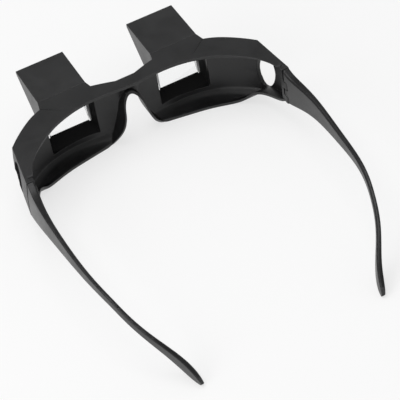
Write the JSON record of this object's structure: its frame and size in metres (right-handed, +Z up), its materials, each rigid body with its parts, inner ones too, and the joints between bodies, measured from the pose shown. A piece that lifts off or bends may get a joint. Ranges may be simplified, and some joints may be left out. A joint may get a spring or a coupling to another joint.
{
  "type": "prism bed glasses",
  "caption": "Wrap-around glasses with a right-angled prism in a wedge housing before each eye, for seeing one's lap or feet while lying on the back.",
  "frame": {"origin": "middle of the whole object's footprint, on the surface it stands on with the temples open", "axes": "+X to the wearer's left, +Y from the front towards the temple tips, +Z up"},
  "size_m": [0.1552, 0.2138, 0.04],
  "materials": {
    "frame_plastic": "matte charcoal moulding",
    "housing_plastic": "matte charcoal moulding",
    "temple_plastic": "satin charcoal moulding",
    "prism_glass": "polished",
    "foam_tape": "black foam",
    "screw_steel": "plain",
    "insert_brass": "turned"
  },
  "bodies": {
    "front": {"front_frame": "frame_plastic", "prism_housing_left": "housing_plastic", "prism_housing_right": "housing_plastic", "prism_left": "prism_glass", "prism_right": "prism_glass", "roof_tape_left": "foam_tape", "roof_tape_right": "foam_tape", "sill_strip_left": "foam_tape", "sill_strip_right": "foam_tape", "hinge_screw_left": "screw_steel", "hinge_screw_right": "screw_steel", "hinge_insert_left": "insert_brass", "hinge_insert_right": "insert_brass"},
    "temple_left": {"temple_left": "temple_plastic"},
    "temple_right": {"temple_right": "temple_plastic"}
  },
  "joints": [
    {"name": "temple_left_fold", "type": "hinge", "parent": "front", "child": "temple_left", "pos_m": [0.0726, -0.02468, 0.0238], "axis": [0, 0, 1], "range_deg": [0, 90]},
    {"name": "temple_right_fold", "type": "hinge", "parent": "front", "child": "temple_right", "pos_m": [-0.0726, -0.02468, 0.0238], "axis": [0, 0, -1], "range_deg": [0, 80]}
  ]
}
